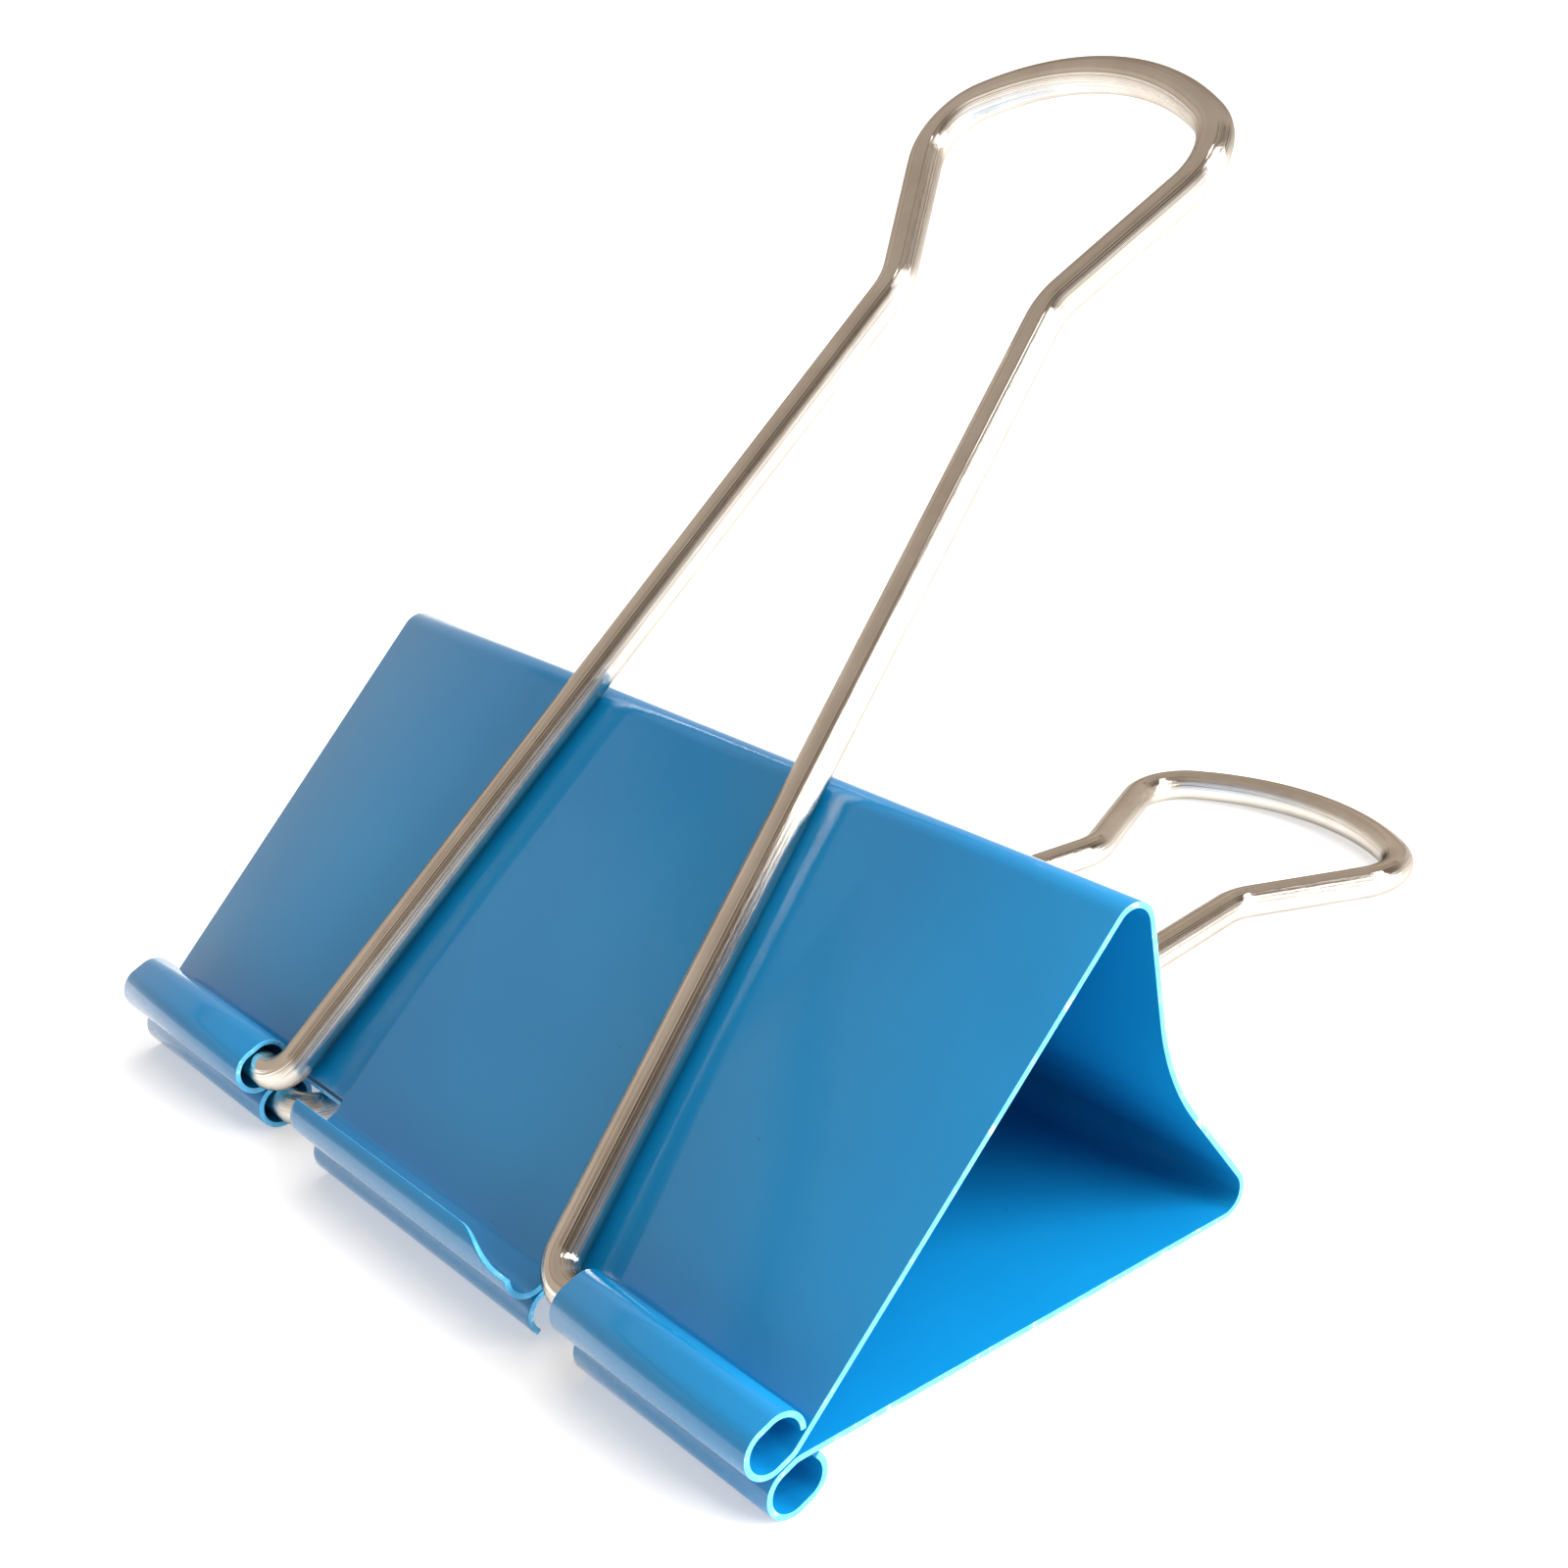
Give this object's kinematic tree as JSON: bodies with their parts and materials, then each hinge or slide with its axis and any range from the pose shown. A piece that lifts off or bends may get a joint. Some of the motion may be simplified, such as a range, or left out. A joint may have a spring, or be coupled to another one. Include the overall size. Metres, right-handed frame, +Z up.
{
  "type": "binder clip",
  "caption": "Binder clip of folded spring steel with a triangular section, a hollow spine, rolled jaw edges and hinged bent-wire handles.",
  "frame": {"origin": "bottom centre of the bounding box, with the clip lying on its back curl and on the head of its back handle", "axes": "+X along the clip's width, +Y from the jaw towards the spine, +Z up"},
  "size_m": [0.051, 0.0628, 0.0441],
  "materials": {
    "blue_paint": "gloss enamel on spring steel",
    "plated_wire": "bright nickel plate on steel wire"
  },
  "bodies": {
    "back_jaw": {"back_jaw": "blue_paint"},
    "front_jaw": {"front_jaw": "blue_paint"},
    "front_handle": {"front_handle": "plated_wire"},
    "back_handle": {"back_handle": "plated_wire"}
  },
  "joints": [
    {"name": "jaw_flex", "type": "hinge", "parent": "back_jaw", "child": "front_jaw", "pos_m": [0, -0.00905, 0.01014], "axis": [-1, 0, 0], "range_deg": [0, 60], "stiffness_Nm_per_rad": 0.6, "springref_deg": -34.38},
    {"name": "front_handle_hinge", "type": "hinge", "parent": "front_jaw", "child": "front_handle", "pos_m": [0, -0.02997, 0.00355], "axis": [1, 0, 0], "range_deg": [0, 158]},
    {"name": "back_handle_hinge", "type": "hinge", "parent": "back_jaw", "child": "back_handle", "pos_m": [0, -0.02912, 0.00129], "axis": [-1, 0, 0], "range_deg": [0, 158]}
  ]
}
